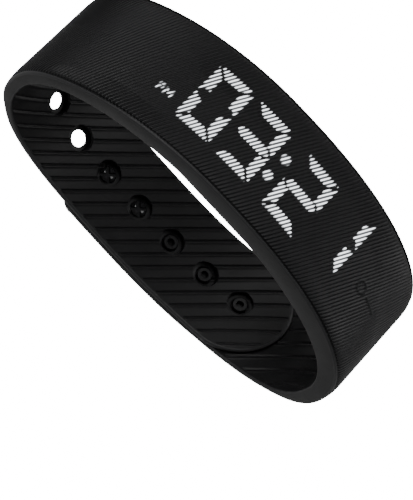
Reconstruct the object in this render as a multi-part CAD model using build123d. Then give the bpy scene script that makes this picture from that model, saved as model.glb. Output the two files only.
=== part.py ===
from build123d import *
import math
import os

os.makedirs("parts", exist_ok=True)

# A silicone wristband tracker, closed on its snap studs. The origin is the middle of the wrist
# opening. +X runs along the display in reading order, +Y across the band, +Z out of the display.
# All sizes are millimetres.

# Loop: the inside of the band is an oval with its own roundness in each lower corner.
LOOP_HALF_LENGTH = 31.2
LOOP_HALF_HEIGHT = 18.8
ROUNDNESS_TOP = 2.1
ROUNDNESS_HOLED_SIDE = 2.4
ROUNDNESS_STUD_SIDE = 2.15

# Outside of the display sleeve: a larger oval, set off towards the stud strap's end.
SLEEVE_CENTRE_X = 0.8
SLEEVE_HALF_LENGTH = 33.5
SLEEVE_HEIGHT = 22.8
SLEEVE_ROUNDNESS_LEFT = 2.0
SLEEVE_ROUNDNESS_RIGHT = 2.25

BAND_WIDTH = 20.0
STRAP_END_WIDTH = 17.6
TAPER_TOP_Z = -2.0
TAPER_END_Z = -19.0

# Straps: depths are measured outwards from the loop.
HOLED_ROOT_THICKNESS = 1.5
STRAP_THICKNESS = 1.1
STRAP_GAP = 0.1
STUD_ROOT_THICKNESS = 3.1
HOLED_TIP_X = 24.8
HOLED_TIP_ROUND = 8.5
STUD_TIP_X = -16.9
STUD_TIP_ROUND = 5.0
STRAP_TIP_HALF_WIDTH = 9.0
HINGE_GAP = 0.1
PEEL_HINGE_X = 11.0
FLEX_HINGE_X = 23.5

# Snap holes and studs.
HOLE_COUNT = 7
HOLE_PITCH = 7.4
LAST_HOLE_X = 17.2
UPRIGHT_REACH = 17.0
HOLE_TOOL_REACH = 3.0
HOLE_RADIUS = 1.6
HOLE_RECESS_RADIUS = 2.1
HOLE_RECESS_DEPTH = 0.4
STUD_HOLES = (2, 3)
STUD_NECK_RADIUS = 0.8
STUD_HEAD_RADIUS = 1.2
STUD_HEAD_HEIGHT = 0.45
STUD_HEAD_SETBACK = 0.35
STUD_SLOT_WIDTH = 0.3
RIVET_SETBACK = 0.1
CLASP_PLATE_LENGTH = 12.4
CLASP_PLATE_WIDTH = 5.6
CLASP_PLATE_THICKNESS = 0.45
CLASP_TOOL_REACH = 1.0

# Tracker core: a shallow case that lies under a skin of silicone and slides out towards the wrist.
SKIN = 1.0
CORE_CENTRE_X = 2.0
CORE_LENGTH = 44.0
CORE_WIDTH = 12.8
CORE_CORNER = 3.0
CORE_BOTTOM_Z = 14.0
CORE_WALL = 0.8
CORE_CLEARANCE = 0.1
POCKET_WALL = 1.2
SEAL_BOTTOM_Z = 15.5
SEAL_THICKNESS = 0.3

BOARD_BOTTOM_Z = 16.6
BOARD_THICKNESS = 0.6
BOARD_LEFT_X = -15.6
BOARD_RIGHT_X = 20.0
BOARD_WIDTH = 10.6
LED_LENGTH = 1.0
LED_WIDTH = 0.6
LED_HEIGHT = 0.4
MASK_GAP = 0.05
MASK_SIDE_GAP = 0.1
MASK_RIGHT_BORDER = 0.6
FILM_THICKNESS = 0.1
FILM_CENTRE_X = 2.6
FILM_LENGTH = 31.0
FILM_WIDTH = 10.8

# Clock display: seven-segment digits that read hours, colon, minutes, with an afternoon mark.
DIGIT_CENTRES_X = (-10.4, -2.7, 7.4, 15.4)
DIGITS = ("0", "3", "2", "1")
DIGIT_WIDTH = 6.2
DIGIT_HEIGHT = 11.0
SEGMENT_WIDTH = 1.3
SEGMENT_GAP = 0.25
LIT_SEGMENTS = {"0": "abcdef", "1": "bc", "2": "abged", "3": "abcdg"}
COLON_X = 2.3
COLON_Y = 2.0
COLON_SIZE = 1.4
AFTERNOON_X = -14.7
AFTERNOON_Y = -2.3
AFTERNOON_LENGTH = 1.2
AFTERNOON_WIDTH = 2.8

FLOOR_TOP_Z = CORE_BOTTOM_Z + CORE_WALL
BOARD_TOP_Z = BOARD_BOTTOM_Z + BOARD_THICKNESS
MASK_BOTTOM_Z = BOARD_TOP_Z + LED_HEIGHT + MASK_GAP
STUD_STRAP_DEPTH = STRAP_THICKNESS + STRAP_GAP
STUD_STRAP_OUTSIDE = STUD_STRAP_DEPTH + STRAP_THICKNESS


# ---------------------------------------------------------------- loop geometry


def signed_power(value, power):
    return math.copysign(abs(value) ** power, value)


def loop_roundness(degrees):
    if math.sin(math.radians(degrees)) >= 0:
        return ROUNDNESS_TOP
    if math.cos(math.radians(degrees)) >= 0:
        return ROUNDNESS_STUD_SIDE
    return ROUNDNESS_HOLED_SIDE


def loop_point(degrees, depth=0.0):
    """A point of the loop, moved outwards by depth: 0 is the stud side, 90 the display, 270 the back."""
    power = 2.0 / loop_roundness(degrees)
    c, s = math.cos(math.radians(degrees)), math.sin(math.radians(degrees))
    x = LOOP_HALF_LENGTH * signed_power(c, power)
    z = LOOP_HALF_HEIGHT * signed_power(s, power)
    nx, nz = loop_normal(x, z, loop_roundness(degrees))
    return x + nx * depth, z + nz * depth


def loop_normal(x, z, roundness):
    nx = signed_power(x / LOOP_HALF_LENGTH, roundness - 1) / LOOP_HALF_LENGTH
    nz = signed_power(z / LOOP_HALF_HEIGHT, roundness - 1) / LOOP_HALF_HEIGHT
    size = math.hypot(nx, nz)
    return nx / size, nz / size


def back_degrees(x):
    """The angle of the point on the back of the loop that has this X."""
    roundness = ROUNDNESS_STUD_SIDE if x >= 0 else ROUNDNESS_HOLED_SIDE
    c = signed_power(x / LOOP_HALF_LENGTH, roundness / 2.0)
    return 360.0 - math.degrees(math.acos(c))


def sleeve_point(degrees, inset=0.0):
    """A point of the sleeve's outside, 0 to 180 degrees over the display, moved inwards by inset."""
    c, s = math.cos(math.radians(degrees)), math.sin(math.radians(degrees))
    roundness = SLEEVE_ROUNDNESS_RIGHT if c >= 0 else SLEEVE_ROUNDNESS_LEFT
    x = signed_power(c, 2.0 / roundness)
    z = signed_power(s, 2.0 / roundness)
    nx = signed_power(x, roundness - 1) / SLEEVE_HALF_LENGTH
    nz = signed_power(z, roundness - 1) / SLEEVE_HEIGHT
    size = math.hypot(nx, nz)
    return (
        SLEEVE_CENTRE_X + SLEEVE_HALF_LENGTH * x - nx / size * inset,
        SLEEVE_HEIGHT * z - nz / size * inset,
    )


def ease(value, start, end, low, high):
    """Goes smoothly from low to high while value goes from start to end."""
    t = min(1.0, max(0.0, (value - start) / (end - start)))
    return low + (high - low) * t * t * (3 - 2 * t)


def angles(start, end, count):
    return [start + (end - start) * i / (count - 1) for i in range(count)]


def band_curve(points):
    return Spline(*[Vector(x, 0, z) for x, z in points])


def between(lower, upper, width):
    """The solid between two curves with matching ends, as wide as width across the band."""
    first, second = band_curve(lower), band_curve(upper)
    outline = [first, second, Line(first @ 0, second @ 0), Line(first @ 1, second @ 1)]
    return extrude(make_face(outline), amount=width / 2, dir=(0, 1, 0), both=True)


def band_piece(start, end, inner_depth, outer_depth, width, count=14):
    stops = angles(start, end, count)
    lower = [loop_point(a, inner_depth(a)) for a in stops]
    upper = [loop_point(a, outer_depth(a)) for a in stops]
    return between(lower, upper, width)


def side_taper():
    """The room the tapering straps lie in: full width at the sleeve, narrower along the back."""
    wide, narrow, far = BAND_WIDTH / 2, STRAP_END_WIDTH / 2, 4 * LOOP_HALF_HEIGHT
    outline = Polyline(
        (0, wide, far),
        (0, wide, TAPER_TOP_Z),
        (0, narrow, TAPER_END_Z),
        (0, narrow, -far),
        (0, -narrow, -far),
        (0, -narrow, TAPER_END_Z),
        (0, -wide, TAPER_TOP_Z),
        (0, -wide, far),
        close=True,
    )
    return extrude(make_face(outline), amount=2 * LOOP_HALF_LENGTH, dir=(1, 0, 0), both=True)


def strap_plan(tip_x, towards, tip_round):
    """Seen from above, a strap whose rounded tip, this long, ends at tip_x."""
    reach, tall = 3 * LOOP_HALF_LENGTH, 4 * LOOP_HALF_HEIGHT
    centre = tip_x - towards * tip_round
    body = Pos(centre - towards * reach / 2, 0, 0) * Box(reach, 2 * BAND_WIDTH, tall)
    oval = Ellipse(tip_round, STRAP_TIP_HALF_WIDTH)
    tip = Pos(centre, 0, -tall / 2) * extrude(oval, amount=tall)
    return body + tip


def rod_along(degrees, radius, depth_from, depth_to, upright=False):
    """A cylinder that crosses the strap at this angle of the loop, between two depths."""
    x0, z0 = loop_point(degrees, depth_from)
    x1, z1 = loop_point(degrees, depth_to)
    if upright:
        x0 = x1 = loop_point(degrees)[0]
    direction = Vector(x1 - x0, 0, z1 - z0)
    plane = Plane(origin=(x0, 0, z0), z_dir=direction.normalized())
    return extrude(plane * Circle(radius), amount=direction.length)


def rounded_block(length, width, corner, bottom, top):
    """An upright block over the core's middle, with rounded corners seen from above."""
    plan = RectangleRounded(length, width, corner)
    return Pos(CORE_CENTRE_X, 0, bottom) * extrude(plan, amount=top - bottom)


def under_sleeve(inset):
    """All the room under the sleeve's outside, moved inwards by inset."""
    top = [sleeve_point(a, inset) for a in angles(8, 172, 25)]
    curve = band_curve(top)
    left, right = Vector(top[-1][0], 0, 0), Vector(top[0][0], 0, 0)
    outline = [curve, Line(curve @ 1, left), Line(left, right), Line(right, curve @ 0)]
    return extrude(make_face(outline), amount=BAND_WIDTH, dir=(0, 1, 0), both=True)


def tower(x, y, length, width, bottom, top):
    """An upright square-edged block."""
    return Pos(x, y, (bottom + top) / 2) * Box(length, width, top - bottom)


def save(name, *solids):
    """Writes one named part, made of one solid or of several alike."""
    shape = solids[0] if len(solids) == 1 else Compound(children=list(solids))
    export_step(shape, f"parts/{name}.step")


# ---------------------------------------------------------------- tracker core envelope

CORE_TOP_ROOM = under_sleeve(SKIN)
CORE_INNER_ROOM = under_sleeve(SKIN + CORE_WALL)
core_envelope = CORE_TOP_ROOM & rounded_block(
    CORE_LENGTH, CORE_WIDTH, CORE_CORNER, CORE_BOTTOM_Z, SLEEVE_HEIGHT
)
core_cavity = CORE_INNER_ROOM & rounded_block(
    CORE_LENGTH - 2 * CORE_WALL,
    CORE_WIDTH - 2 * CORE_WALL,
    CORE_CORNER - CORE_WALL,
    FLOOR_TOP_Z,
    SLEEVE_HEIGHT,
)


# ---------------------------------------------------------------- silicone band


def display_sleeve():
    """The upper half of the band with the pocket that holds the core, open towards the wrist."""
    stops = angles(0, 180, 33)
    shell = between([loop_point(a) for a in stops], [sleeve_point(a) for a in stops], BAND_WIDTH)
    wall = rounded_block(
        CORE_LENGTH + 2 * POCKET_WALL,
        CORE_WIDTH + 2 * POCKET_WALL,
        CORE_CORNER + POCKET_WALL,
        CORE_BOTTOM_Z,
        SLEEVE_HEIGHT,
    )
    pocket = under_sleeve(SKIN - CORE_CLEARANCE) & rounded_block(
        CORE_LENGTH + 2 * CORE_CLEARANCE,
        CORE_WIDTH + 2 * CORE_CLEARANCE,
        CORE_CORNER + CORE_CLEARANCE,
        0.0,
        SLEEVE_HEIGHT,
    )
    return shell + (wall & under_sleeve(SKIN / 2)) - pocket


def hole_angles():
    """Angles of the snap holes: equal steps along the loop, back from the last hole."""
    stops = []
    degrees, travelled = back_degrees(LAST_HOLE_X), 0.0
    step = 0.02
    here = loop_point(degrees)
    while len(stops) < HOLE_COUNT:
        if travelled >= len(stops) * HOLE_PITCH:
            stops.append(degrees)
        degrees -= step
        there = loop_point(degrees)
        travelled += math.dist(here, there)
        here = there
    return stops[::-1]


def is_upright(degrees):
    """Holes near the middle of the back are cut straight down, the way a stud is pulled out."""
    return abs(loop_point(degrees)[0]) < UPRIGHT_REACH


def holed_depth(degrees):
    return ease(degrees, 200, 240, HOLED_ROOT_THICKNESS, STRAP_THICKNESS)


def holed_strap():
    """The inner strap, with its row of recessed snap holes and its round tip."""
    strap = band_piece(180, back_degrees(HOLED_TIP_X), lambda a: 0.0, holed_depth, BAND_WIDTH, 24)
    strap = strap & side_taper() & strap_plan(HOLED_TIP_X, 1, HOLED_TIP_ROUND)
    for degrees in hole_angles():
        upright = is_upright(degrees)
        strap -= rod_along(degrees, HOLE_RADIUS, -HOLE_TOOL_REACH, HOLE_TOOL_REACH, upright)
        strap -= rod_along(
            degrees, HOLE_RECESS_RADIUS, -HOLE_TOOL_REACH, HOLE_RECESS_DEPTH, upright
        )
    return strap


def stud_inside(degrees):
    """Depth of the outer strap's inside: it starts on the loop and steps over the inner strap."""
    return ease(degrees, 360, 326, 0.0, STUD_STRAP_DEPTH)


def stud_outside(degrees):
    return ease(degrees, 360, 326, STUD_ROOT_THICKNESS, STUD_STRAP_OUTSIDE)


def gap_degrees(degrees):
    """Half the slit between two strap stretches, as an angle of the loop."""
    ahead = math.dist(loop_point(degrees), loop_point(degrees + 1))
    return HINGE_GAP / 2 / ahead


def stud_stretch(start, end):
    """One stretch of the outer strap, between two hinge lines."""
    start += gap_degrees(start)
    end -= gap_degrees(end - 1)
    piece = band_piece(start, end, stud_inside, stud_outside, BAND_WIDTH)
    return piece & side_taper()


PEEL_HINGE = back_degrees(PEEL_HINGE_X)
FLEX_HINGE = back_degrees(FLEX_HINGE_X)
STUD_ANGLES = [hole_angles()[i] for i in STUD_HOLES]


def clasp_plate_room():
    """The room of the plate both studs are riveted to, open through the strap's outside."""
    middle = sum(loop_point(a)[0] for a in STUD_ANGLES) / 2
    return band_piece(
        back_degrees(middle - CLASP_PLATE_LENGTH / 2),
        back_degrees(middle + CLASP_PLATE_LENGTH / 2),
        lambda a: STUD_STRAP_OUTSIDE - CLASP_PLATE_THICKNESS,
        lambda a: STUD_STRAP_OUTSIDE + CLASP_TOOL_REACH,
        CLASP_PLATE_WIDTH,
    )


def snap_stud(degrees):
    """A riveted stud: neck, and a head slit in four so that it squeezes through its hole."""
    x, z = loop_point(degrees)
    head_top = z - STUD_HEAD_SETBACK
    head_bottom = head_top - STUD_HEAD_HEIGHT
    foot = z - STUD_STRAP_OUTSIDE + RIVET_SETBACK
    neck = Pos(x, 0, foot) * extrude(Circle(STUD_NECK_RADIUS), amount=head_bottom - foot)
    head = Pos(x, 0, head_bottom) * extrude(Circle(STUD_HEAD_RADIUS), amount=STUD_HEAD_HEIGHT)
    top_edge = head.edges().sort_by(Axis.Z)[-1]
    head = chamfer(top_edge, STUD_HEAD_HEIGHT / 2)
    slot = Box(2 * STUD_HEAD_RADIUS, STUD_SLOT_WIDTH, 2 * STUD_HEAD_HEIGHT)
    cross = slot + Rot(0, 0, 90) * slot
    return neck + head - Pos(x, 0, head_top) * cross


def stud_strap_end():
    """The last stretch of the outer strap, before the plate's room is taken out of it."""
    stretch = stud_stretch(back_degrees(STUD_TIP_X), PEEL_HINGE)
    return stretch & strap_plan(STUD_TIP_X, -1, STUD_TIP_ROUND)


# ---------------------------------------------------------------- core case

SEAL_TOP_Z = SEAL_BOTTOM_Z + SEAL_THICKNESS
SCREW_FROM_END = 1.3
SCREW_Y = 4.2
SCREW_XS = (BOARD_LEFT_X + SCREW_FROM_END, BOARD_RIGHT_X - SCREW_FROM_END)
SCREW_PLACES = [(x, y) for x in SCREW_XS for y in (-SCREW_Y, SCREW_Y)]
BOSS_RADIUS = 0.9
SCREW_RADIUS = 0.4
SCREW_HEAD_RADIUS = 0.75
SCREW_HEAD_HEIGHT = 0.3
SCREW_DEPTH = 1.2
CONTACT_X = BOARD_LEFT_X + SCREW_FROM_END
CONTACT_SPACING = 2.4
CONTACT_RADIUS = 0.55
CONTACT_PLACES = [(CONTACT_X, i * CONTACT_SPACING) for i in (-1, 0, 1)]


def slab(bottom, top):
    """A layer much wider than the core."""
    return Pos(CORE_CENTRE_X, 0, (bottom + top) / 2) * Box(
        2 * CORE_LENGTH, 2 * CORE_WIDTH, top - bottom
    )


def posts(places, radius, bottom, top):
    """Upright round rods, all alike."""
    return [Pos(x, y, bottom) * extrude(Circle(radius), amount=top - bottom) for x, y in places]


def core_base():
    """The wrist-side tray with four screw bosses and the holes for the charging contacts."""
    tray = (core_envelope - core_cavity) & slab(CORE_BOTTOM_Z, SEAL_BOTTOM_Z)
    for boss in posts(SCREW_PLACES, BOSS_RADIUS, CORE_BOTTOM_Z + CORE_WALL / 2, BOARD_BOTTOM_Z):
        tray += boss
    for thread in posts(SCREW_PLACES, SCREW_RADIUS, BOARD_TOP_Z - SCREW_DEPTH, BOARD_TOP_Z):
        tray -= thread
    for hole in posts(CONTACT_PLACES, CONTACT_RADIUS, CORE_BOTTOM_Z, FLOOR_TOP_Z):
        tray -= hole
    return tray


def core_seal():
    """The rubber ring pinched between the tray and the cover."""
    return (core_envelope - core_cavity) & slab(SEAL_BOTTOM_Z, SEAL_TOP_Z)


def core_cover():
    """The smoked cover, curved to lie under the silicone skin."""
    return (core_envelope - core_cavity) & slab(SEAL_TOP_Z, SLEEVE_HEIGHT)


# ---------------------------------------------------------------- board and display


def segment_boxes(centre_x):
    """Name, middle and size of the seven segments of a digit."""
    side_x = DIGIT_WIDTH / 2 - SEGMENT_WIDTH / 2
    half_y = DIGIT_HEIGHT / 2 - SEGMENT_WIDTH / 2
    flat = (2 * side_x - SEGMENT_WIDTH - 2 * SEGMENT_GAP, SEGMENT_WIDTH)
    tall = (SEGMENT_WIDTH, half_y - SEGMENT_WIDTH - 2 * SEGMENT_GAP)
    return {
        "a": (centre_x, half_y, *flat),
        "b": (centre_x + side_x, half_y / 2, *tall),
        "c": (centre_x + side_x, -half_y / 2, *tall),
        "d": (centre_x, -half_y, *flat),
        "e": (centre_x - side_x, -half_y / 2, *tall),
        "f": (centre_x - side_x, half_y / 2, *tall),
        "g": (centre_x, 0.0, *flat),
    }


def digit_places(indices, lit=True):
    """Places of the lit or unlit segments of some of the digits."""
    places = []
    for i in indices:
        for name, place in segment_boxes(DIGIT_CENTRES_X[i]).items():
            if (name in LIT_SEGMENTS[DIGITS[i]]) == lit:
                places.append(place)
    return places


HOURS, MINUTES = (0, 1), (2, 3)
COLON_PLACES = [(COLON_X, y, COLON_SIZE, COLON_SIZE) for y in (-COLON_Y, COLON_Y)]
AFTERNOON_PLACE = (AFTERNOON_X, AFTERNOON_Y, AFTERNOON_LENGTH, AFTERNOON_WIDTH)
MASK_ROOM = under_sleeve(SKIN + CORE_WALL + FILM_THICKNESS + MASK_GAP)


def light_pipes(places):
    """The clear blocks that carry each segment's light up to the film."""
    pipes = []
    for x, y, length, width in places:
        pipe = tower(x, y, length, width, MASK_BOTTOM_Z, SLEEVE_HEIGHT) & MASK_ROOM
        pipes.append(pipe)
    return pipes


def leds(places):
    """One small light on the board under each segment."""
    return [
        tower(x, y, LED_WIDTH, LED_LENGTH, BOARD_TOP_Z, BOARD_TOP_Z + LED_HEIGHT)
        for x, y, _, _ in places
    ]


def light_mask(pipes):
    """The black block that keeps each segment's light apart."""
    left = BOARD_LEFT_X + MASK_SIDE_GAP
    right = DIGIT_CENTRES_X[-1] + DIGIT_WIDTH / 2 + MASK_RIGHT_BORDER
    width = CORE_WIDTH - 2 * CORE_WALL - 2 * MASK_SIDE_GAP
    block = tower((left + right) / 2, 0, right - left, width, MASK_BOTTOM_Z, SLEEVE_HEIGHT)
    block &= MASK_ROOM
    for pipe in pipes:
        block -= pipe
    return block


def diffuser_film():
    """A thin film between the mask and the cover."""
    outer = under_sleeve(SKIN + CORE_WALL + MASK_GAP / 2)
    inner = under_sleeve(SKIN + CORE_WALL + MASK_GAP / 2 + FILM_THICKNESS)
    window = tower(FILM_CENTRE_X, 0, FILM_LENGTH, FILM_WIDTH, MASK_BOTTOM_Z, SLEEVE_HEIGHT)
    return (outer - inner) & window


def main_board():
    """The board that carries the lights on top and the chips below."""
    middle, length = (BOARD_LEFT_X + BOARD_RIGHT_X) / 2, BOARD_RIGHT_X - BOARD_LEFT_X
    board = tower(middle, 0, length, BOARD_WIDTH, BOARD_BOTTOM_Z, BOARD_TOP_Z)
    for hole in posts(SCREW_PLACES, SCREW_RADIUS, BOARD_BOTTOM_Z, BOARD_TOP_Z):
        board -= hole
    return board


def board_screws():
    """Four small screws with flat heads, down into the tray's bosses."""
    head_top = BOARD_TOP_Z + SCREW_HEAD_HEIGHT
    shanks = posts(SCREW_PLACES, SCREW_RADIUS, BOARD_TOP_Z - SCREW_DEPTH, BOARD_TOP_Z)
    heads = posts(SCREW_PLACES, SCREW_HEAD_RADIUS, BOARD_TOP_Z, head_top)
    return [shank + head for shank, head in zip(shanks, heads)]


# ---------------------------------------------------------------- battery, motor, touch pad

BATTERY_X = -4.0
BATTERY_LENGTH = 15.0
BATTERY_WIDTH = 10.0
BATTERY_TOP_Z = BOARD_BOTTOM_Z - 0.25
TAPE_BORDER = 1.0
TAPE_THICKNESS = 0.1
TAPE_TOP_Z = FLOOR_TOP_Z + TAPE_THICKNESS
LEAD_RADIUS = 0.15
LEAD_Y = 1.2
LEAD_DROP = 0.6
MOTOR_X = 9.6
MOTOR_RADIUS = 4.0
MOTOR_WALL = 0.25
MOTOR_TOP_Z = BOARD_BOTTOM_Z - 0.2
LID_BOTTOM_Z = MOTOR_TOP_Z - MOTOR_WALL
WEIGHT_RADIUS = 3.2
WEIGHT_HEIGHT = 0.6
WEIGHT_GAP = 0.25
WEIGHT_BOTTOM_Z = FLOOR_TOP_Z + MOTOR_WALL + WEIGHT_GAP
SHAFT_RADIUS = 0.4
SHAFT_CLEARANCE = 0.05
CHIP_X = 16.4
CHIP_SIZE = (2.6, 3.0, 0.7)
SENSOR_Y = 3.0
SENSOR_SIZE = (2.0, 2.0, 0.6)
CRYSTAL_Y = -3.0
CRYSTAL_SIZE = (2.0, 1.2, 0.5)
TOUCH_X = 21.6
TOUCH_LENGTH = 1.6
TOUCH_WIDTH = 6.0
TOUCH_HEIGHT = 1.4


def battery_tape():
    """The foam tape that holds the cell down."""
    length, width = BATTERY_LENGTH - 2 * TAPE_BORDER, BATTERY_WIDTH - 2 * TAPE_BORDER
    return tower(BATTERY_X, 0, length, width, FLOOR_TOP_Z, TAPE_TOP_Z)


def battery_cell():
    """The flat pouch cell."""
    return tower(BATTERY_X, 0, BATTERY_LENGTH, BATTERY_WIDTH, TAPE_TOP_Z, BATTERY_TOP_Z)


def battery_leads():
    """Two short leads from the cell's end up to the board."""
    x = BATTERY_X + BATTERY_LENGTH / 2 + LEAD_RADIUS
    places = [(x, -LEAD_Y), (x, LEAD_Y)]
    return posts(places, LEAD_RADIUS, BATTERY_TOP_Z - LEAD_DROP, BOARD_BOTTOM_Z)


def chip_under_board(y, size):
    """A chip soldered to the underside of the board."""
    length, width, height = size
    return tower(CHIP_X, y, length, width, BOARD_BOTTOM_Z - height, BOARD_BOTTOM_Z)


def touch_pad():
    """The foam block that the touch electrode stands on, against the tray's end."""
    return tower(TOUCH_X, 0, TOUCH_LENGTH, TOUCH_WIDTH, FLOOR_TOP_Z, FLOOR_TOP_Z + TOUCH_HEIGHT)


def motor_can():
    """The cup of a coin motor, with a bore in its floor for the shaft's end."""
    height = LID_BOTTOM_Z - FLOOR_TOP_Z
    cup = extrude(Circle(MOTOR_RADIUS), amount=height)
    cup -= Pos(0, 0, MOTOR_WALL) * extrude(Circle(MOTOR_RADIUS - MOTOR_WALL), amount=height)
    return Pos(MOTOR_X, 0, FLOOR_TOP_Z) * cup


def motor_lid():
    """The disc that closes the motor."""
    return Pos(MOTOR_X, 0, LID_BOTTOM_Z) * extrude(
        Circle(MOTOR_RADIUS), amount=MOTOR_TOP_Z - LID_BOTTOM_Z
    )


def motor_weight():
    """The half-round weight that makes the shake."""
    disc = extrude(Circle(WEIGHT_RADIUS), amount=WEIGHT_HEIGHT)
    half = disc & Pos(WEIGHT_RADIUS / 2, 0, 0) * Box(
        WEIGHT_RADIUS, 2 * WEIGHT_RADIUS, 4 * WEIGHT_HEIGHT
    )
    hub = extrude(Circle(2 * SHAFT_RADIUS), amount=WEIGHT_HEIGHT)
    bore = extrude(Circle(SHAFT_RADIUS), amount=WEIGHT_HEIGHT)
    return Pos(MOTOR_X, 0, WEIGHT_BOTTOM_Z) * (half + hub - bore)


def motor_shaft():
    """The pin the weight turns with, free at both ends."""
    bottom = FLOOR_TOP_Z + MOTOR_WALL + SHAFT_CLEARANCE
    return posts([(MOTOR_X, 0)], SHAFT_RADIUS, bottom, LID_BOTTOM_Z - SHAFT_CLEARANCE)


# ---------------------------------------------------------------- build and write

studs = [snap_stud(a) for a in STUD_ANGLES]
plate_room = clasp_plate_room()
whole_end = stud_strap_end()
clasp_plate = whole_end & plate_room
strap_end = whole_end - plate_room
for stud in studs:
    clasp_plate -= stud
    strap_end -= stud

save("display_sleeve", display_sleeve())
save("holed_strap", holed_strap())
save("stud_strap_bend", stud_stretch(FLEX_HINGE, 360.0))
save("stud_strap_middle", stud_stretch(PEEL_HINGE, FLEX_HINGE))
save("stud_strap_end", strap_end)
save("clasp_plate", clasp_plate)
save("snap_studs", *studs)

save("core_base", core_base())
save("core_seal", core_seal())
save("core_cover", core_cover())
save("main_board", main_board())
save("board_screws", *board_screws())
save("charge_contacts", *posts(CONTACT_PLACES, CONTACT_RADIUS, CORE_BOTTOM_Z, BOARD_BOTTOM_Z))

hours = light_pipes(digit_places(HOURS))
minutes = light_pipes(digit_places(MINUTES))
unlit = light_pipes(digit_places(HOURS + MINUTES, lit=False))
colon = light_pipes(COLON_PLACES)
afternoon = light_pipes([AFTERNOON_PLACE])
save("hours_segments", *hours)
save("minutes_segments", *minutes)
save("unlit_segments", *unlit)
save("colon_dots", *colon)
save("afternoon_mark", *afternoon)
save("light_mask", light_mask(hours + minutes + unlit + colon + afternoon))
save("diffuser_film", diffuser_film())
save("hours_leds", *leds(digit_places(HOURS)))
save("minutes_leds", *leds(digit_places(MINUTES)))
save("unlit_leds", *leds(digit_places(HOURS + MINUTES, lit=False)))
save("colon_leds", *leds(COLON_PLACES))
save("afternoon_led", *leds([AFTERNOON_PLACE]))

save("battery_tape", battery_tape())
save("battery_cell", battery_cell())
save("battery_leads", *battery_leads())
save("controller_chip", chip_under_board(0, CHIP_SIZE))
save("motion_sensor", chip_under_board(SENSOR_Y, SENSOR_SIZE))
save("clock_crystal", chip_under_board(CRYSTAL_Y, CRYSTAL_SIZE))
save("touch_pad", touch_pad())
save("motor_can", motor_can())
save("motor_lid", motor_lid())
save("motor_weight", motor_weight())
save("motor_shaft", *motor_shaft())
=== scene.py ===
import math

import bmesh
import bpy
import numpy as np
from mathutils import Matrix, Vector


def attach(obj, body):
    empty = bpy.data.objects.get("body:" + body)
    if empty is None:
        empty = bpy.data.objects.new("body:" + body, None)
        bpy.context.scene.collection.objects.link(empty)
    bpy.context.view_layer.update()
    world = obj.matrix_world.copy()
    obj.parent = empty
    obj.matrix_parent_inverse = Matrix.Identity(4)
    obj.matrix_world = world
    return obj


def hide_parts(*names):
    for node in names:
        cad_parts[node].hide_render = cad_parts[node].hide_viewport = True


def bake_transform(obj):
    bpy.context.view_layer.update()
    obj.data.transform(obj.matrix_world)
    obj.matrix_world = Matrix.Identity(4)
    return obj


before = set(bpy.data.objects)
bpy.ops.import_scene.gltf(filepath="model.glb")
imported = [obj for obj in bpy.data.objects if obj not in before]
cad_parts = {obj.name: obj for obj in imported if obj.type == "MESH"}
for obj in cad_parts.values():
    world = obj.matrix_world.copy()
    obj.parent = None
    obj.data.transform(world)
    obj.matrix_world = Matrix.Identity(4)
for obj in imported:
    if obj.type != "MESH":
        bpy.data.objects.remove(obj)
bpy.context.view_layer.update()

# ------------------------------------------------------------ band skin
# One moulding of black silicone: the sleeve over the display and the inner strap. Fine slanting
# ribs run over its outside, wider slanting grooves over its inside, and its side faces are smooth.
# The display shines through the ribs, so the glow is part of this surface.
MM = 0.001

# The inside of the closed loop is an oval, and the sleeve's outside is a larger one set off to the right.
LOOP_HALF_LENGTH, LOOP_HALF_HEIGHT = 31.2, 18.8
LOOP_ROUNDNESS_TOP, LOOP_ROUNDNESS_RIGHT, LOOP_ROUNDNESS_LEFT = 2.1, 2.15, 2.4
SLEEVE_CENTRE, SLEEVE_HALF_LENGTH, SLEEVE_HEIGHT = 0.8, 33.5, 22.8
SLEEVE_ROUNDNESS_RIGHT, SLEEVE_ROUNDNESS_LEFT = 2.25, 2.12
LEFT_BULGE = 0.85
SWAY = 0.55

# Straps: the thickness at the sleeve and at the end, and how far the stud strap steps out over the other.
STRAP_THICKNESS, HOLED_ROOT_THICKNESS, STUD_ROOT_THICKNESS = 1.1, 1.5, 3.1
STUD_STRAP_STEP = 1.2
STEP_END = -34
HALF_WIDTH, WIDTH_TAPER = 10.0, 1.2
TIP_HALF_WIDTH = 9.0
HOLED_TIP, HOLED_TIP_START, HOLED_TIP_LENGTH = 321.4, 16.3, 8.5
STUD_TIP, STUD_TIP_START, STUD_TIP_LENGTH = -118.6, -11.9, 5.0
HOLED_TIP_RIM, STUD_TIP_RIM = 8.7, 6.0
TIP_BLUNTING, TIP_THINNING = 0.35, 0.45
SEAM = 4.0

# Relief: ribs outside, grooves with a lip inside, a line and a rounded edge along both sides.
COLUMNS_PER_RIB, ROWS_ACROSS = 6, 94
END_STEPS = np.array([0, 0.005, 0.02, 0.05, 0.08])
RIB_PITCH, RIB_SLOPE, RIB_DEPTH = 0.617, 0.512, 0.13
GROOVE_PITCH, GROOVE_START = 2.79, -21.7
GROOVE_ACROSS, GROOVE_UP = 0.891, 0.343
GROOVE_WIDTH, GROOVE_DEPTH = 0.3, 0.16
LIP_HEIGHT, LIP_OFFSET = 0.07, 0.42
LINE_PLACE, LINE_DEPTH = 0.52, 0.2
EDGE_ROUNDING = 0.24
SHOULDER_DEPTH, SHOULDER_WIDTH, STRAP_SHOULDER = 0.55, 2.4, 0.3
MARK_X, MARK_Y, MARK_RADIUS = 24.0, -0.6, 0.9


def powered(value, power):
    """A power that keeps the sign of the value."""
    return np.sign(value) * np.abs(value) ** power


def eased(value, start, end, low=0.0, high=1.0):
    """Goes smoothly from low to high while value goes from start to end."""
    t = np.clip((value - start) / (end - start), 0.0, 1.0)
    return low + (high - low) * t * t * (3 - 2 * t)


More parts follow.
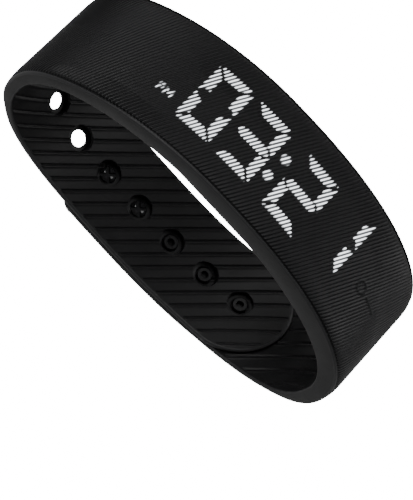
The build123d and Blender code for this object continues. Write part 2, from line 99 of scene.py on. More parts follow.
def oval_point(degrees, half_length, half_height, roundness, depth):
    """A point of an oval, moved outwards by depth."""
    c, s = np.cos(np.radians(degrees)), np.sin(np.radians(degrees))
    x, z = powered(c, 2 / roundness), powered(s, 2 / roundness)
    nx = powered(x, roundness - 1) / half_length
    nz = powered(z, roundness - 1) / half_height
    size = np.hypot(nx, nz)
    return np.stack([x * half_length + nx / size * depth, z * half_height + nz / size * depth], -1)


def inner_face(degrees, depth=0.0):
    """The wrist side of the band: 90 is the display, from 180 up the inner strap, below 0 the outer strap."""
    degrees = np.asarray(degrees, float)
    right = np.cos(np.radians(degrees)) >= 0
    over = np.sin(np.radians(degrees)) >= 0
    under = np.where(right, LOOP_ROUNDNESS_RIGHT, LOOP_ROUNDNESS_LEFT)
    roundness = np.where(over, LOOP_ROUNDNESS_TOP, under)
    step = eased(degrees, 0, STEP_END, 0.0, STUD_STRAP_STEP) * (degrees < 0)
    return oval_point(degrees, LOOP_HALF_LENGTH, LOOP_HALF_HEIGHT, roundness, step + depth)


def outer_face(degrees, inset=0.0):
    """The outside of the band at the same angles."""
    degrees = np.asarray(degrees, float)
    right = np.cos(np.radians(degrees)) >= 0
    roundness = np.where(right, SLEEVE_ROUNDNESS_RIGHT, SLEEVE_ROUNDNESS_LEFT)
    sleeve = oval_point(degrees, SLEEVE_HALF_LENGTH, SLEEVE_HEIGHT, roundness, -inset) + [SLEEVE_CENTRE, 0.0]
    thickness = np.where(
        degrees < 0,
        eased(degrees, 0, STEP_END, STUD_ROOT_THICKNESS, STRAP_THICKNESS),
        eased(degrees, 200, 240, HOLED_ROOT_THICKNESS, STRAP_THICKNESS),
    )
    strap = inner_face(degrees, thickness - inset)
    over = (degrees >= 0) & (degrees <= 180)
    face = np.where(over[..., None], sleeve, strap)
    bulge = LEFT_BULGE * eased(degrees, 130, 170) * eased(degrees, 204, 184)
    return face - np.stack([bulge, 0 * bulge], -1)


def run_length(points):
    """Lengths along a line of points, from its first one."""
    steps = np.hypot(*np.diff(points, axis=0).T)
    return np.concatenate([[0.0], np.cumsum(steps)])


ALL_DEGREES = np.linspace(-130, 325, 9101)
OUTER_RUN = run_length(outer_face(ALL_DEGREES))
OUTER_RUN -= np.interp(0.0, ALL_DEGREES, OUTER_RUN)
INNER_RUN = run_length(inner_face(ALL_DEGREES))


def degrees_at(run):
    """The angle at a length along the outside."""
    return np.interp(run, OUTER_RUN, ALL_DEGREES)


def run_at(degrees):
    """The length along the outside at an angle."""
    return np.interp(degrees, ALL_DEGREES, OUTER_RUN)


def half_width(x, z, degrees):
    """Half the strap's width: full at the sleeve, tapering along the back, half-round at the tips."""
    width = HALF_WIDTH - WIDTH_TAPER * np.clip((-z - 2.0) / 17.0, 0, 1) ** 1.5
    beyond = tip_reach(x, degrees)
    tip = TIP_HALF_WIDTH * np.sqrt(np.clip(1 - beyond**2, 0.0005, 1))
    return np.where(beyond > 0, tip, width).clip(0, width)


def tip_reach(x, degrees):
    """How far a point lies into a rounded tip: 0 where the tip starts, 1 at its end."""
    holed = np.where(degrees > 270, (x - HOLED_TIP_START) / HOLED_TIP_LENGTH, 0.0)
    stud = np.where(degrees < -90, (STUD_TIP_START - x) / STUD_TIP_LENGTH, 0.0)
    return np.clip(np.maximum(holed, stud), 0, 1)


def sway(x):
    """The closed band sits slightly askew: its left end is pulled towards the near side."""
    return -SWAY * eased(-np.asarray(x), 4.0, 30.0)


def edge_distance(x, y, width, degrees):
    """How far a point of the band lies from its nearest side or from the rim of its tip."""
    reach = tip_reach(x, degrees)
    rim_width = np.where(degrees > 0, HOLED_TIP_RIM, STUD_TIP_RIM)
    in_tip = (1 - np.sqrt(reach**2 + (y / TIP_HALF_WIDTH) ** 2)) * rim_width
    return np.clip(np.where(reach > 0, in_tip, width - np.abs(y)), 0, None)


def rounding(distance, radius):
    """How far an edge rounded with this radius lies below the face, this far from the side."""
    left = np.clip(radius - distance, 0, radius)
    return radius - np.sqrt(radius**2 - left**2)


def stroke(x, y, start, end, half, soft=0.12):
    """A mask, 1 on the straight stroke between two points and 0 away from it."""
    (x0, y0), (x1, y1) = start, end
    length = math.hypot(x1 - x0, y1 - y0)
    along = ((x - x0) * (x1 - x0) + (y - y0) * (y1 - y0)) / length
    across = np.abs((x - x0) * (y1 - y0) - (y - y0) * (x1 - x0)) / length
    past = np.clip(np.maximum(-along, along - length), 0, None)
    return 1 - eased(across + past, half - soft, half + soft)


def touch_mark(x, y, degrees):
    """A small ring with a bar beside it, where the finger wakes the display."""
    ring = 1 - eased(np.abs(np.hypot(x - MARK_X, y - MARK_Y) - MARK_RADIUS), 0.1, 0.25)
    bar = stroke(x, y, (MARK_X + 1.8, MARK_Y), (MARK_X + 4.4, MARK_Y), 0.16)
    return np.maximum(ring, bar) * ((degrees > 0) & (degrees < 90))


def outer_drop(run, x, y, distance, degrees):
    """Depth of the outside below its nominal face: ribs, the line beside them, the rounded edge."""
    phase = 2 * np.pi * (run + RIB_SLOPE * y) / RIB_PITCH
    ribs = RIB_DEPTH * (0.5 - 0.5 * np.cos(phase)) ** 0.8
    ribs = ribs * (1 - touch_mark(x, y, degrees))
    line = LINE_DEPTH * (1 - eased(np.abs(distance - LINE_PLACE), 0.06, 0.2))
    share = eased(degrees, -20, 0) * eased(degrees, 210, 185)
    share = STRAP_SHOULDER + (1 - STRAP_SHOULDER) * share
    shoulder = share * SHOULDER_DEPTH * rounding(distance / SHOULDER_WIDTH, 1.0)
    return ribs * eased(distance, 0.5, 0.7) + line + shoulder + rounding(distance, EDGE_ROUNDING)


def inner_drop(x, y, z, distance, degrees):
    """Depth of the inside below its nominal face: grooves with a lip beside each, and the rounded edge."""
    place = (x - GROOVE_ACROSS * y - GROOVE_UP * z - GROOVE_START) / GROOVE_PITCH
    past = (place - np.round(place)) * GROOVE_PITCH
    groove = GROOVE_DEPTH * (1 - eased(np.abs(past), 0.05, GROOVE_WIDTH))
    lip = LIP_HEIGHT * (1 - eased(np.abs(past - LIP_OFFSET), 0.0, LIP_OFFSET))
    shaped = (groove - lip) * ((degrees < -5) | (degrees > 165)) * eased(distance, 0.45, 0.6)
    reach = tip_reach(x, degrees) * (degrees > 0)
    return shaped + rounding(distance, EDGE_ROUNDING + TIP_BLUNTING * reach) + TIP_THINNING * reach**2


def band_rows(width, count):
    """Places across the band: close together at both edges, even between them."""
    near = np.array([0, 0.02, 0.05, 0.1, 0.16, 0.26, 0.36, 0.44, 0.52, 0.6, 0.7])
    squeeze = np.clip(width / 3.0, 0, 1)
    edge = near[None, :] * squeeze[:, None]
    middle = (width - near[-1] * squeeze)[:, None] * np.linspace(-1, 1, count)[None, 1:-1]
    return np.hstack([edge - width[:, None], middle, (width[:, None] - edge)[:, ::-1]])


def make_solid(name, points, faces):
    """An object from points in millimetres and faces."""
    mesh = bpy.data.meshes.new(name)
    mesh.from_pydata(np.asarray(points) * MM, [], faces)
    mesh.validate()
    made = bpy.data.objects.new(name, mesh)
    bpy.context.scene.collection.objects.link(made)
    return made


def band_solid(name, start_run, end_run, rows):
    """A closed length of the band between two runs along its outside."""
    run = np.arange(start_run, end_run, RIB_PITCH / COLUMNS_PER_RIB)
    run = np.append(run, end_run - END_STEPS[::-1])
    if start_run < run_at(STUD_TIP) + 1:
        run = np.append(start_run + END_STEPS, run[1:])
    run = np.unique(np.round(run, 4))
    degrees = degrees_at(run)
    outer, inner = outer_face(degrees), inner_face(degrees)
    away = outer - inner
    thickness = np.hypot(*away.T)
    away = away / thickness[:, None]
    width = half_width(inner[:, 0], outer[:, 1], degrees)
    y = band_rows(width, rows)
    run, width, degrees = run[:, None], width[:, None], degrees[:, None]
    distance = edge_distance(inner[:, :1], y, width, degrees)
    sunk = outer_drop(run, outer[:, :1], y, distance, degrees)
    raised = inner_drop(inner[:, :1], y, inner[:, 1:], distance, degrees)
    top = outer[:, None] - away[:, None] * sunk[..., None]
    bottom = inner[:, None] + away[:, None] * raised[..., None]
    top = np.stack([top[..., 0], y + sway(top[..., 0]), top[..., 1]], -1)
    bottom = np.stack([bottom[..., 0], y + sway(bottom[..., 0]), bottom[..., 1]], -1)[:, ::-1]
    ring = np.concatenate([top, bottom], 1)
    columns, around = ring.shape[:2]
    index = np.arange(columns * around).reshape(columns, around)
    a, b = index[:-1], index[1:]
    c, d = np.roll(b, -1, 1), np.roll(a, -1, 1)
    triangles = np.concatenate(
        [np.stack([a, b, d], -1).reshape(-1, 3), np.stack([b, c, d], -1).reshape(-1, 3)]
    )
    faces = triangles.tolist() + [index[0].tolist(), index[-1][::-1].tolist()]
    made = make_solid(name, ring.reshape(-1, 3), faces)
    # A thin band along each rounded edge, where a pale line is painted as a highlight.
    rim = eased(distance, 0.0, 0.02) * eased(distance, 0.36, 0.26)
    edge_highlight_attribute = made.data.attributes.new("rim", "FLOAT", "POINT")
    edge_highlight_attribute.data.foreach_set("value", np.concatenate([rim, rim[:, ::-1]], 1).astype(np.float32).ravel())
    return made


def face_outwards(made):
    """Turns all faces of a closed solid outwards."""
    shape = bmesh.new()
    shape.from_mesh(made.data)
    bmesh.ops.recalc_face_normals(shape, faces=shape.faces)
    shape.to_mesh(made.data)
    shape.free()


def prism(name, outline, low, high, across=False):
    """A straight solid: an outline seen from above raised from low to high, or one seen from the side."""
    count = len(outline)
    places = [(x, level, v) if across else (x, v, level) for level in (low, high) for x, v in outline]
    sides = [(i, (i + 1) % count, (i + 1) % count + count, i + count) for i in range(count)]
    ends = [tuple(range(count))[::-1], tuple(range(count, 2 * count))]
    made = make_solid(name, places, sides + ends)
    face_outwards(made)
    return made


def combine(target, tool, operation):
    """Adds or removes one closed solid to or from another, and uses the second up."""
    change = target.modifiers.new("change", "BOOLEAN")
    change.operation, change.object, change.solver = operation, tool, "MANIFOLD"
    graph = bpy.context.evaluated_depsgraph_get()
    result = bpy.data.meshes.new_from_object(target.evaluated_get(graph))
    target.modifiers.clear()
    target.data = result
    bpy.data.objects.remove(tool)


def rounded_outline(centre_x, length, width, corner):
    """A rounded rectangle seen from above."""
    points = []
    for quarter, (sx, sy) in enumerate([(1, 1), (-1, 1), (-1, -1), (1, -1)]):
        for step in range(9):
            turn = math.radians(90 * quarter + 90 * step / 8)
            x = centre_x + sx * (length / 2 - corner) + corner * math.cos(turn)
            points.append((x, sy * (width / 2 - corner) + corner * math.sin(turn)))
    return points


def room_under_sleeve(name, inset, block):
    """A block seen from above, cut off where it would come nearer than inset to the sleeve's outside."""
    arch = [tuple(p) for p in outer_face(np.linspace(8, 172, 83), inset)]
    under = prism(name, [(arch[0][0], 0), *arch, (arch[-1][0], 0)], -12, 12, across=True)
    combine(under, block, "INTERSECT")
    return under


def smooth(piece, sharp_degrees=38):
    """Shades a piece smooth, except over its sharper edges."""
    piece.data.shade_smooth()
    piece.data.set_sharp_from_angle(angle=math.radians(sharp_degrees))


# The sleeve's walls close round the tracker core, and the core slips into the pocket between them.
CORE_CENTRE = 2.0
WALL_OUTLINE = rounded_outline(CORE_CENTRE, 46.4, 15.2, 4.2)
POCKET_OUTLINE = rounded_outline(CORE_CENTRE, 44.2, 13.0, 3.1)
WALL_SKIN, POCKET_SKIN = 0.5, 0.9
band_skin = band_solid("band_skin", SEAM, run_at(HOLED_TIP), ROWS_ACROSS)
wall = prism("wall", WALL_OUTLINE, 14.0, 23.0)
combine(band_skin, room_under_sleeve("wall_room", WALL_SKIN, wall), "UNION")
pocket = prism("pocket", POCKET_OUTLINE, 10.0, 23.0)
combine(band_skin, room_under_sleeve("pocket_room", POCKET_SKIN, pocket), "DIFFERENCE")

# ------------------------------------------------------------ snap holes
# Seven through holes in equal steps along the inner strap, each in a deep round recess. The mould
# makes them, so they are cut out of the band skin before it is given its material.
HOLE_COUNT, HOLE_PITCH, LAST_HOLE = 7, 7.4, 17.2
HOLE_RADIUS, RECESS_RADIUS, RECESS_DEPTH = 1.36, 2.1, 0.82
UPRIGHT_REACH = 17


def back_degrees(x):
    """The angle at which the strap's inside has this X along the back."""
    roundness = LOOP_ROUNDNESS_RIGHT if x >= 0 else LOOP_ROUNDNESS_LEFT
    return 360 - math.degrees(math.acos(powered(x / LOOP_HALF_LENGTH, roundness / 2)))


def lathe(name, profile, degrees, upright, steps=48):
    """A turned closed solid: radius and depth pairs, spun about the line across the strap at degrees."""
    foot, ahead = inner_face(degrees), inner_face(degrees, 1.0)
    axis = Vector((0, 0, -1)) if upright else Vector((ahead[0] - foot[0], 0, ahead[1] - foot[1]))
    side = Vector((0, 1, 0))
    third = axis.cross(side)
    base = Vector((foot[0], sway(foot[0]), foot[1]))
    points = []
    for radius, depth in profile:
        for i in range(steps):
            turn = 2 * math.pi * i / steps
            points.append(base + axis * depth + (side * math.cos(turn) + third * math.sin(turn)) * radius)
    rings = len(profile)
    faces = []
    for r in range(rings - 1):
        for i in range(steps):
            j = (i + 1) % steps
            faces.append((r * steps + i, r * steps + j, (r + 1) * steps + j, (r + 1) * steps + i))
    faces += [tuple(range(steps))[::-1], tuple(range((rings - 1) * steps, rings * steps))]
    made = make_solid(name, [tuple(p) for p in points], faces)
    face_outwards(made)
    return made


inner_runs = np.interp(back_degrees(LAST_HOLE), ALL_DEGREES, INNER_RUN) - HOLE_PITCH * np.arange(HOLE_COUNT)
hole_degrees = np.interp(inner_runs, INNER_RUN, ALL_DEGREES)
hole_profile = [
    (RECESS_RADIUS + 0.3, -2.0), (RECESS_RADIUS + 0.12, -0.05), (RECESS_RADIUS + 0.03, 0.04),
    (RECESS_RADIUS, 0.12), (RECESS_RADIUS, RECESS_DEPTH), (HOLE_RADIUS + 0.08, RECESS_DEPTH),
    (HOLE_RADIUS + 0.02, RECESS_DEPTH + 0.04), (HOLE_RADIUS, RECESS_DEPTH + 0.1), (HOLE_RADIUS, 3.0),
]
for i, degrees in enumerate(hole_degrees):
    upright = abs(float(inner_face(degrees)[0])) < UPRIGHT_REACH
    combine(band_skin, lathe(f"hole_{i}", hole_profile, degrees, upright), "DIFFERENCE")
smooth(band_skin)

# ------------------------------------------------------------ clock light
# Light from the digits, the colon and the afternoon mark under the sleeve. It comes through the
# thin silicone and is brightest on the crests of the ribs, so it is a value on the band skin.
DIGIT_PLACES = [("abcdef", -10.4, 0.2, 6.2, 11.0), ("abcdg", -2.75, -0.05, 6.6, 11.0),
                ("abged", 7.6, -0.3, 6.8, 11.0), ("bc", 15.9, 1.4, 6.4, 10.8)]
STROKE, SEGMENT_GAP = 1.3, 0.42


def segment(letter, x, y, cx, cy, width, height, crest):
    """A mask of one segment of a digit: a at the top and then clockwise, g across the middle."""
    u, v = x - cx, y - cy
    from_side = width / 2 - (u if letter in "bc" else -u if letter in "ef" else np.abs(u))
    from_end = height / 2 - (v if letter in "abf" else -v if letter in "cde" else np.abs(v))
    if letter == "g":
        room = np.minimum(STROKE / 2 - np.abs(v), from_side - np.abs(v) - SEGMENT_GAP)
    elif letter in "ad":
        room = np.minimum(np.minimum(from_end, STROKE - from_end), from_side - from_end - SEGMENT_GAP)
    else:
        past_middle = height / 2 - from_end - SEGMENT_GAP - np.minimum(from_side, STROKE / 2)
        across = np.minimum(from_side, STROKE - from_side)
        room = np.minimum(np.minimum(across, past_middle), from_end - from_side - SEGMENT_GAP)
    return eased(room + 0.2 * crest - 0.1, -0.08, 0.08)


points = np.empty(len(band_skin.data.vertices) * 3, np.float32)
band_skin.data.vertices.foreach_get("co", points)
x, y, z = points.reshape(-1, 3).T / MM
side = np.where(x >= SLEEVE_CENTRE, SLEEVE_ROUNDNESS_RIGHT, SLEEVE_ROUNDNESS_LEFT)
share = (x - SLEEVE_CENTRE) / SLEEVE_HALF_LENGTH
level = np.abs(share) ** side + np.abs(z / SLEEVE_HEIGHT) ** side
run = run_at(np.degrees(np.arccos(powered(np.clip(share, -1, 1), side / 2))))
crest = 0.5 + 0.5 * np.cos(2 * np.pi * (run + RIB_SLOPE * y) / RIB_PITCH)
lit = np.zeros(len(x))
for on, cx, cy, width, height in DIGIT_PLACES:
    for letter in on:
        lit = np.maximum(lit, segment(letter, x, y, cx, cy, width, height, crest))
COLON_DOTS = [(2.46, 1.72), (2.1, -2.13)]
for cx, cy in COLON_DOTS:
    lit = np.maximum(lit, 1 - eased(np.hypot(x - cx, y - cy), 0.65, 0.9))
AFTERNOON_STROKES = [
    ((-17.9, -3.7), (-17.9, -2.5)), ((-17.9, -2.5), (-17.25, -2.5)), ((-17.25, -2.5), (-17.25, -3.1)),
    ((-17.25, -3.1), (-17.9, -3.1)), ((-16.7, -3.8), (-16.7, -2.6)), ((-16.7, -2.6), (-16.15, -3.3)),
    ((-16.15, -3.3), (-15.6, -2.6)), ((-15.6, -2.6), (-15.6, -3.8)),
]
for start, end in AFTERNOON_STROKES:
    lit = np.maximum(lit, stroke(x, y, start, end, 0.1, 0.08))
# Only the outside of the sleeve is lit, not its inside or the straps.
lit *= (z > 5) & (level > 0.94)
glow = band_skin.data.attributes.new("glow", "FLOAT", "POINT")
glow.data.foreach_set("value", (lit * eased(crest, 0.56, 0.92, 0.035, 1.0)).astype(np.float32))


def group(name, inputs, outputs):
    """A shader group with named inputs (socket kind and default) and outputs."""
    made = bpy.data.node_groups.new(name, "ShaderNodeTree")
    for label, (kind, value) in inputs.items():
        made.interface.new_socket(label, in_out="INPUT", socket_type=kind).default_value = value
    for label, kind in outputs.items():
        made.interface.new_socket(label, in_out="OUTPUT", socket_type=kind)
    nodes = made.nodes
    return made, nodes.new("NodeGroupInput"), nodes.new("NodeGroupOutput")


def node(tree, kind, inputs=(), **settings):
    """Adds a node, sets its settings, and links or sets its inputs."""
    made = tree.nodes.new(kind)
    for label, value in settings.items():
        setattr(made, label, value)
    for socket, value in dict(inputs).items():
        if isinstance(value, bpy.types.NodeSocket):
            tree.links.new(value, made.inputs[socket])
        else:
            made.inputs[socket].default_value = value
    return made


FLOAT, COLOUR = "NodeSocketFloat", "NodeSocketColor"
SURFACE_INPUTS = {"Colour": (COLOUR, (0.5, 0.5, 0.5, 1)), "Second": (COLOUR, (0.4, 0.4, 0.4, 1)),
                  "Scale": (FLOAT, 900.0), "Low": (FLOAT, 0.4), "High": (FLOAT, 0.6)}
SURFACE_OUTPUTS = {"Colour": COLOUR, "Roughness": FLOAT, "Height": FLOAT}
grain, given, out = group("fine_grain", SURFACE_INPUTS, SURFACE_OUTPUTS)
place = node(grain, "ShaderNodeTexCoord")
wide = node(grain, "ShaderNodeTexNoise",
            {"Vector": place.outputs["Object"], "Scale": 160.0, "Detail": 3.0})
fine = node(grain, "ShaderNodeTexNoise",
            {"Vector": place.outputs["Object"], "Scale": given.outputs["Scale"], "Detail": 4.0})
both = node(grain, "ShaderNodeMath",
            {0: wide.outputs["Fac"], 1: fine.outputs["Fac"], 2: wide.outputs["Fac"]},
            operation="MULTIPLY_ADD")
spread = node(grain, "ShaderNodeMapRange", {"Value": both.outputs[0], "From Min": 0.45, "From Max": 1.05})
mixed = node(grain, "ShaderNodeMix",
             {0: spread.outputs[0], 6: given.outputs["Colour"], 7: given.outputs["Second"]}, data_type="RGBA")
rough = node(grain, "ShaderNodeMapRange", {"Value": wide.outputs["Fac"], "From Min": 0.3, "From Max": 0.7,
             "To Min": given.outputs["Low"], "To Max": given.outputs["High"]})
grain.links.new(mixed.outputs[2], out.inputs["Colour"])
grain.links.new(rough.outputs[0], out.inputs["Roughness"])
grain.links.new(fine.outputs["Fac"], out.inputs["Height"])


def grained(name, colour, second, scale, low, high, bump, surface=grain, **sockets):
    """A material whose colour, roughness and small relief come from the grain or another such group."""
    made = bpy.data.materials.new(name)
    made.use_nodes = True
    tree = made.node_tree
    shader = tree.nodes["Principled BSDF"]
    source = node(tree, "ShaderNodeGroup", node_tree=surface)
    source.inputs["Colour"].default_value = (*colour, 1)
    source.inputs["Second"].default_value = (*second, 1)
    source.inputs["Scale"].default_value = scale
    source.inputs["Low"].default_value = low
    source.inputs["High"].default_value = high
    relief = node(tree, "ShaderNodeBump",
                  {"Height": source.outputs["Height"], "Strength": bump, "Distance": 0.0001})
    tree.links.new(source.outputs["Colour"], shader.inputs["Base Color"])
    tree.links.new(source.outputs["Roughness"], shader.inputs["Roughness"])
    tree.links.new(relief.outputs["Normal"], shader.inputs["Normal"])
    for label, value in sockets.items():
        shader.inputs[label.replace("_", " ")].default_value = value
    return made


def dress(piece, material):
    """Gives a piece its only material."""
    piece.data.materials.clear()
    piece.data.materials.append(material)


# The rounded edges of the silicone get a painted highlight: a pale line along each edge stands in for the
# light they catch.
edging, given, out = group("painted_edge_highlight", {"Colour": (COLOUR, (0.01, 0.01, 0.01, 1))}, {"Colour": COLOUR})
wear_and_sheen = node(edging, "ShaderNodeAttribute", attribute_name="rim")
HIGHLIGHT_RIM_COLOUR = (0.03, 0.03, 0.031, 1)
paler = node(edging, "ShaderNodeMix",
             {0: wear_and_sheen.outputs["Fac"], 6: given.outputs["Colour"], 7: HIGHLIGHT_RIM_COLOUR}, data_type="RGBA")
edging.links.new(paler.outputs[2], out.inputs["Colour"])


def paint_edge_highlight(material):
    """Passes a material's colour through the group that paints a highlight along the rounded edges."""
    shader = material.node_tree.nodes["Principled BSDF"]
    colour = shader.inputs["Base Color"].links[0].from_socket
    edge = node(material.node_tree, "ShaderNodeGroup", {"Colour": colour}, node_tree=edging)
    material.node_tree.links.new(edge.outputs["Colour"], shader.inputs["Base Color"])


RUBBER = dict(colour=(0.0045, 0.0045, 0.005), second=(0.0065, 0.0065, 0.007), scale=2600.0,
              low=0.42, high=0.52, bump=0.12, Specular_IOR_Level=0.2)
silicone = grained("silicone", Emission_Strength=3.6, **RUBBER)
# Painted highlight: a pale line along the band skin's rounded edges.
paint_edge_highlight(silicone)
tree = silicone.node_tree
shone = node(tree, "ShaderNodeAttribute", attribute_name="glow")
warm = node(tree, "ShaderNodeValToRGB", {"Fac": shone.outputs["Fac"]})
warm.color_ramp.elements[0].color = (0, 0, 0, 1)
warm.color_ramp.elements[1].color = (0.93, 0.96, 1.0, 1)
tree.links.new(warm.outputs["Color"], tree.nodes["Principled BSDF"].inputs["Emission Color"])
dress(band_skin, silicone)
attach(band_skin, "band")
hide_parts("display_sleeve", "holed_strap")

# ------------------------------------------------------------ stud strap skin
# The outer strap grows out of the sleeve's right end, steps over the inner strap and ends half
# round. It is the same moulding in the same silicone, built in three stretches.
# Round hollow pips on it stand in the three holes that it backs.
plain_silicone = grained("strap_silicone", **RUBBER)
# Painted highlight: the same pale line along the strap's rounded edges.
paint_edge_highlight(plain_silicone)
PLATE_OUTLINE, PLATE_ROOM_TOP = rounded_outline(-8.05, 12.7, 5.9, 0.6), -20.55
PIP = [(1.22, 1.7), (1.22, 0.5), (1.12, 0.4), (0.66, 0.4), (0.6, 0.46), (0.55, 1.1), (0.02, 1.1)]
BEND_SEAM, MIDDLE_SEAM = -21.0, -52.0
STRETCHES = [
    ("bend", SEAM, BEND_SEAM, "band", 5.0, -6.0),
    ("middle", run_at(BEND_SEAM), MIDDLE_SEAM, "stud_bend", -33.2, -51.6),
    ("end", run_at(MIDDLE_SEAM), STUD_TIP, "stud_middle", -54.0, -87.0),
]
for stretch, high_run, low_degrees, first, start, end in STRETCHES:
    skin = band_solid(f"strap_skin_{stretch}", run_at(low_degrees), high_run, ROWS_ACROSS)
    if stretch == "end":
        combine(skin, prism("plate_room", PLATE_OUTLINE, -24.0, PLATE_ROOM_TOP), "DIFFERENCE")
    for degrees in hole_degrees[:3]:
        lowest, highest = sorted((run_at(low_degrees), high_run))
        if lowest < run_at(degrees - 360) < highest:
            combine(skin, lathe(f"pip_{degrees:.0f}", PIP, degrees, False), "UNION")
    smooth(skin)
    dress(skin, plain_silicone)
    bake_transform(skin)
    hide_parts(f"stud_strap_{stretch}")

# ------------------------------------------------------------ studs and clasp plate
# Two hard black nylon studs with heads slit in four, riveted to a steel plate that lies in the
# outer strap. The heads stand in the recesses of the holes they fill.
brushed, given, out = group("brushed_metal", SURFACE_INPUTS, SURFACE_OUTPUTS)
place = node(brushed, "ShaderNodeTexCoord")
drawn = node(brushed, "ShaderNodeMapping", {"Vector": place.outputs["Object"], "Scale": (0.04, 1.0, 1.0)})
lines = node(brushed, "ShaderNodeTexNoise",
             {"Vector": drawn.outputs["Vector"], "Scale": given.outputs["Scale"], "Detail": 5.0})
cloudy = node(brushed, "ShaderNodeTexNoise",
              {"Vector": place.outputs["Object"], "Scale": 300.0, "Detail": 2.0})
tinted = node(brushed, "ShaderNodeMix",
              {0: lines.outputs["Fac"], 6: given.outputs["Colour"], 7: given.outputs["Second"]},
              data_type="RGBA")
wear_and_sheen = node(brushed, "ShaderNodeMapRange", {"Value": cloudy.outputs["Fac"], "From Min": 0.3, "From Max": 0.7,
            "To Min": given.outputs["Low"], "To Max": given.outputs["High"]})
brushed.links.new(tinted.outputs[2], out.inputs["Colour"])
brushed.links.new(wear_and_sheen.outputs[0], out.inputs["Roughness"])
brushed.links.new(lines.outputs["Fac"], out.inputs["Height"])
stud_nylon = grained("stud_nylon", (0.01, 0.01, 0.011), (0.016, 0.016, 0.017), 1500.0, 0.08, 0.16, 0.03)
steel = grained("steel", (0.4, 0.4, 0.41), (0.58, 0.58, 0.59), 2400.0, 0.22, 0.4, 0.1, brushed, Metallic=1.0)
STUD_RADIUS, STUD_SIDES = 1.38, 8
SLOT_WIDTH, SLOT_DEPTH, SLOT_TURN = 0.6, 0.78, 45.0
NECK_RADIUS, HEAD_FOOT = 0.8, 0.82
stud_profile = [(NECK_RADIUS, 2.9), (NECK_RADIUS, HEAD_FOOT), (STUD_RADIUS - 0.06, HEAD_FOOT),
                (STUD_RADIUS, 0.76), (STUD_RADIUS, 0.6), (STUD_RADIUS - 0.05, 0.55),
                (0.95, 0.34), (0.88, 0.34), (0.1, 0.66), (0.02, 0.66)]
studs = None
for degrees in hole_degrees[3:5]:
    stud = lathe(f"stud_{degrees:.0f}", stud_profile, degrees, True, STUD_SIDES)
    foot = inner_face(degrees)
    for turn in (SLOT_TURN, SLOT_TURN + 90):
        along = Vector((math.cos(math.radians(turn)), math.sin(math.radians(turn))))
        beside = Vector((-along.y, along.x))
        middle = Vector((foot[0], sway(foot[0])))
        corners = [tuple(middle + (along * a * 2 + beside * b * SLOT_WIDTH / 2))
                   for a, b in ((1, 1), (-1, 1), (-1, -1), (1, -1))]
        cut = prism("cut", corners, foot[1] - SLOT_DEPTH, foot[1] + 1)
        combine(stud, cut, "DIFFERENCE")
    if studs:
        combine(studs, stud, "UNION")
    else:
        studs = stud
studs.name = "stud_heads"
smooth(studs, 20)
dress(studs, stud_nylon)
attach(studs, "stud_end")
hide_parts("snap_studs")
dress(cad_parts["clasp_plate"], steel)

# ------------------------------------------------------------ tracker core
# The case slides out towards the wrist: a matt grey tray, a rubber seal and a smoked cover.
# Inside are the board, its lights and chips, the cell and the vibration motor.
laid, given, out = group("board_tracks", SURFACE_INPUTS, SURFACE_OUTPUTS)
place = node(laid, "ShaderNodeTexCoord")
cells = node(laid, "ShaderNodeTexVoronoi",
             {"Vector": place.outputs["Object"], "Scale": given.outputs["Scale"]},
             distance="MANHATTAN", feature="F1")
track = node(laid, "ShaderNodeMapRange",
             {"Value": cells.outputs["Distance"], "From Min": 0.42, "From Max": 0.5})
speckle = node(laid, "ShaderNodeTexNoise", {"Vector": place.outputs["Object"], "Scale": 900.0, "Detail": 3.0})
painted = node(laid, "ShaderNodeMix",
               {0: track.outputs[0], 6: given.outputs["Colour"], 7: given.outputs["Second"]},
               data_type="RGBA")
glossy = node(laid, "ShaderNodeMapRange", {"Value": speckle.outputs["Fac"], "From Min": 0.3, "From Max": 0.7,
              "To Min": given.outputs["Low"], "To Max": given.outputs["High"]})
laid.links.new(painted.outputs[2], out.inputs["Colour"])
laid.links.new(glossy.outputs[0], out.inputs["Roughness"])
laid.links.new(track.outputs[0], out.inputs["Height"])

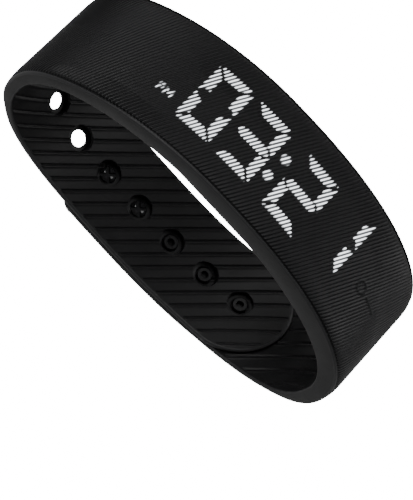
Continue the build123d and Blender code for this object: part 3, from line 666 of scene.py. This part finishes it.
CORE_LOOKS = [
    (["core_base"],
     grained("case_plastic", (0.03, 0.03, 0.032), (0.045, 0.045, 0.047), 1800.0, 0.4, 0.5, 0.2)),
    (["core_seal"],
     grained("seal_rubber", (0.012, 0.012, 0.012), (0.02, 0.02, 0.02), 1400.0, 0.6, 0.7, 0.2)),
    (["core_cover"],
     grained("smoked_cover", (0.008, 0.008, 0.01), (0.012, 0.012, 0.014), 500.0, 0.08, 0.12, 0.02,
             Alpha=0.85)),
    (["main_board"],
     grained("board", (0.006, 0.05, 0.022), (0.015, 0.09, 0.04), 700.0, 0.3, 0.45, 0.2, laid)),
    (["charge_contacts"],
     grained("gold_contact", (0.9, 0.6, 0.22), (0.8, 0.5, 0.18), 900.0, 0.2, 0.3, 0.05, Metallic=1.0)),
    (["hours_segments", "minutes_segments", "colon_dots", "afternoon_mark"],
     grained("light_pipe", (0.85, 0.86, 0.88), (0.78, 0.8, 0.84), 600.0, 0.15, 0.25, 0.02,
             Emission_Color=(0.93, 0.96, 1.0, 1), Emission_Strength=2.0)),
    (["unlit_segments"],
     grained("unlit_pipe", (0.3, 0.31, 0.33), (0.24, 0.25, 0.27), 600.0, 0.15, 0.25, 0.02)),
    (["light_mask"],
     grained("mask_plastic", (0.01, 0.01, 0.01), (0.018, 0.018, 0.018), 1500.0, 0.5, 0.65, 0.15)),
    (["diffuser_film"],
     grained("film", (0.75, 0.75, 0.77), (0.68, 0.68, 0.7), 2200.0, 0.55, 0.7, 0.1)),
    (["hours_leds", "minutes_leds", "unlit_leds", "colon_leds", "afternoon_led"],
     grained("led_resin", (0.85, 0.8, 0.55), (0.9, 0.87, 0.7), 1600.0, 0.25, 0.35, 0.05)),
    (["battery_tape"],
     grained("foam_tape", (0.6, 0.6, 0.55), (0.45, 0.45, 0.42), 1300.0, 0.8, 0.9, 0.6)),
    (["battery_cell"],
     grained("cell_foil", (0.62, 0.63, 0.65), (0.5, 0.51, 0.53), 1500.0, 0.3, 0.45, 0.25, brushed,
             Metallic=1.0)),
    (["battery_leads"],
     grained("lead_cover", (0.4, 0.02, 0.015), (0.3, 0.015, 0.01), 1100.0, 0.35, 0.45, 0.08)),
    (["controller_chip", "motion_sensor"],
     grained("chip_epoxy", (0.018, 0.018, 0.02), (0.03, 0.03, 0.032), 2600.0, 0.55, 0.7, 0.25)),
    (["touch_pad"],
     grained("copper", (0.75, 0.35, 0.2), (0.6, 0.26, 0.14), 1300.0, 0.25, 0.4, 0.08, brushed, Metallic=1.0)),
    (["board_screws", "motor_can", "motor_lid", "motor_weight", "motor_shaft", "clock_crystal"], steel),
]
for names, look in CORE_LOOKS:
    for name in names:
        dress(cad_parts[name], look)

# ------------------------------------------------------------ floor, light and camera
# A plain white floor well below the band, three soft disc lights above it and an even surround.
# The floor glows only where it is looked at, so it stays white without lighting the band.
FLOOR_REACH, FLOOR_LEVEL = 3000, -60
floor_corners = [(x * FLOOR_REACH, y * FLOOR_REACH, FLOOR_LEVEL)
                 for x, y in ((-1, -1), (1, -1), (1, 1), (-1, 1))]
floor = make_solid("floor", floor_corners, [(0, 1, 2, 3)])
paint = grained("floor_paint", (0.8, 0.8, 0.8), (0.78, 0.78, 0.78), 40.0, 0.8, 0.9, 0.0,
                Emission_Strength=16.0)
seen = node(paint.node_tree, "ShaderNodeLightPath")
evened = node(paint.node_tree, "ShaderNodeValToRGB", {"Fac": seen.outputs["Is Camera Ray"]})
painted_floor = paint.node_tree.nodes["Principled BSDF"]
paint.node_tree.links.new(evened.outputs["Color"], painted_floor.inputs["Emission Color"])
dress(floor, paint)

world = bpy.data.worlds.new("surround")
bpy.context.scene.world = world
world.use_nodes = True
world.node_tree.nodes["Background"].inputs["Color"].default_value = (1, 1, 1, 1)
world.node_tree.nodes["Background"].inputs["Strength"].default_value = 0.12

LAMPS = [("key_light", 0.5, 1.7, (-0.35, 0.35, 0.6)), ("back_light", 0.3, 1.3, (0.3, 0.42, 0.3)),
         ("fill_light", 0.3, 2.7, (-0.3, -0.1, 0.6))]
for name, size, energy, place in LAMPS:
    lamp = bpy.data.lights.new(name, "AREA")
    lamp.shape, lamp.size, lamp.energy = "DISK", size, energy
    lamp_holder = bpy.data.objects.new(name, lamp)
    lamp_holder.location = place
    lamp_holder.rotation_euler = (-Vector(place)).to_track_quat("-Z", "Y").to_euler()
    bpy.context.scene.collection.objects.link(lamp_holder)

lens = bpy.data.cameras.new("camera")
lens.lens, lens.sensor_width = 159.1, 36.0
lens.clip_start, lens.clip_end = 0.01, 20.0
camera = bpy.data.objects.new("camera", lens)
CAMERA_PLACE = (-0.02626, -0.15601, 0.29707)
look = Vector((0.0954, 0.4487, -0.8886)).normalized()
right = look.cross(Vector((-0.7233, 0.6446, 0.2478))).normalized()
turned = Matrix((right, right.cross(look), -look)).transposed().to_4x4()
camera.matrix_world = Matrix.Translation(CAMERA_PLACE) @ turned
bpy.context.scene.collection.objects.link(camera)
bpy.context.scene.camera = camera
